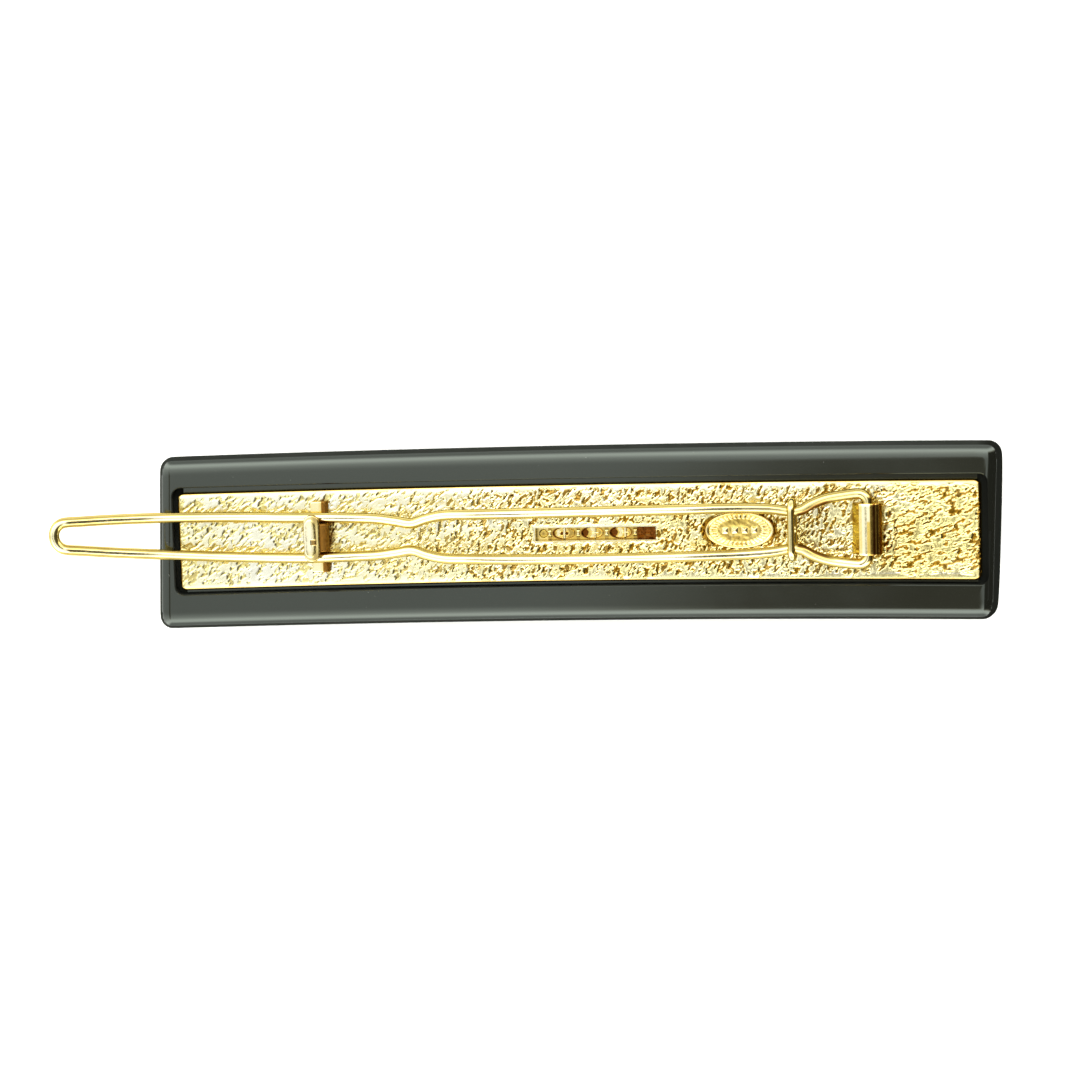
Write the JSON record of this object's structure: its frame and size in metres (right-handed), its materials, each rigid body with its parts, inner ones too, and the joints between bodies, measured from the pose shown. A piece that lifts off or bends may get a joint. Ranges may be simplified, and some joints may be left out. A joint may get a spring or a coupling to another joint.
{
  "type": "wire-clasp barrette",
  "caption": "Long curved resin hair barrette with an inlaid textured brass back plate, a swinging spring-wire clasp and a hook catch.",
  "frame": {"origin": "under the middle of the closed barrette's box, on the plane that its front setting rests on", "axes": "+X along the bar to its hinge end, +Y across the bar, +Z from the front to the back, where the clasp is"},
  "size_m": [0.0966, 0.0182, 0.0143],
  "materials": {
    "resin": "polished black resin",
    "cast_brass": "gold-coloured, hammered texture",
    "fitting_brass": "gold-coloured, polished",
    "wire": "pale gold plating on spring wire, polished",
    "crystal": "clear, square cut",
    "adhesive": "cured film"
  },
  "bodies": {
    "root": {"resin_bar": "resin", "back_plate": "cast_brass", "plate_adhesive": "adhesive", "oval_tag": "cast_brass", "hinge_knuckle": "fitting_brass", "catch_saddle": "fitting_brass", "catch_hook": "fitting_brass", "front_bezel": "fitting_brass", "crystal_cup_1": "fitting_brass", "crystal_cup_2": "fitting_brass", "crystal_cup_3": "fitting_brass", "crystal_cup_4": "fitting_brass", "crystal_cup_5": "fitting_brass", "cup_link_1": "fitting_brass", "cup_link_2": "fitting_brass", "cup_link_3": "fitting_brass", "cup_link_4": "fitting_brass", "crystal_1": "crystal", "crystal_2": "crystal", "crystal_3": "crystal", "crystal_4": "crystal", "crystal_5": "crystal"},
    "clasp": {"clasp_wire": "wire", "clasp_ring": "wire"}
  },
  "joints": [
    {"name": "clasp_hinge", "type": "hinge", "parent": "root", "child": "clasp", "pos_m": [0.03492, 0.00035, 0.00787], "axis": [0, 1, 0], "range_deg": [0, 168]}
  ]
}
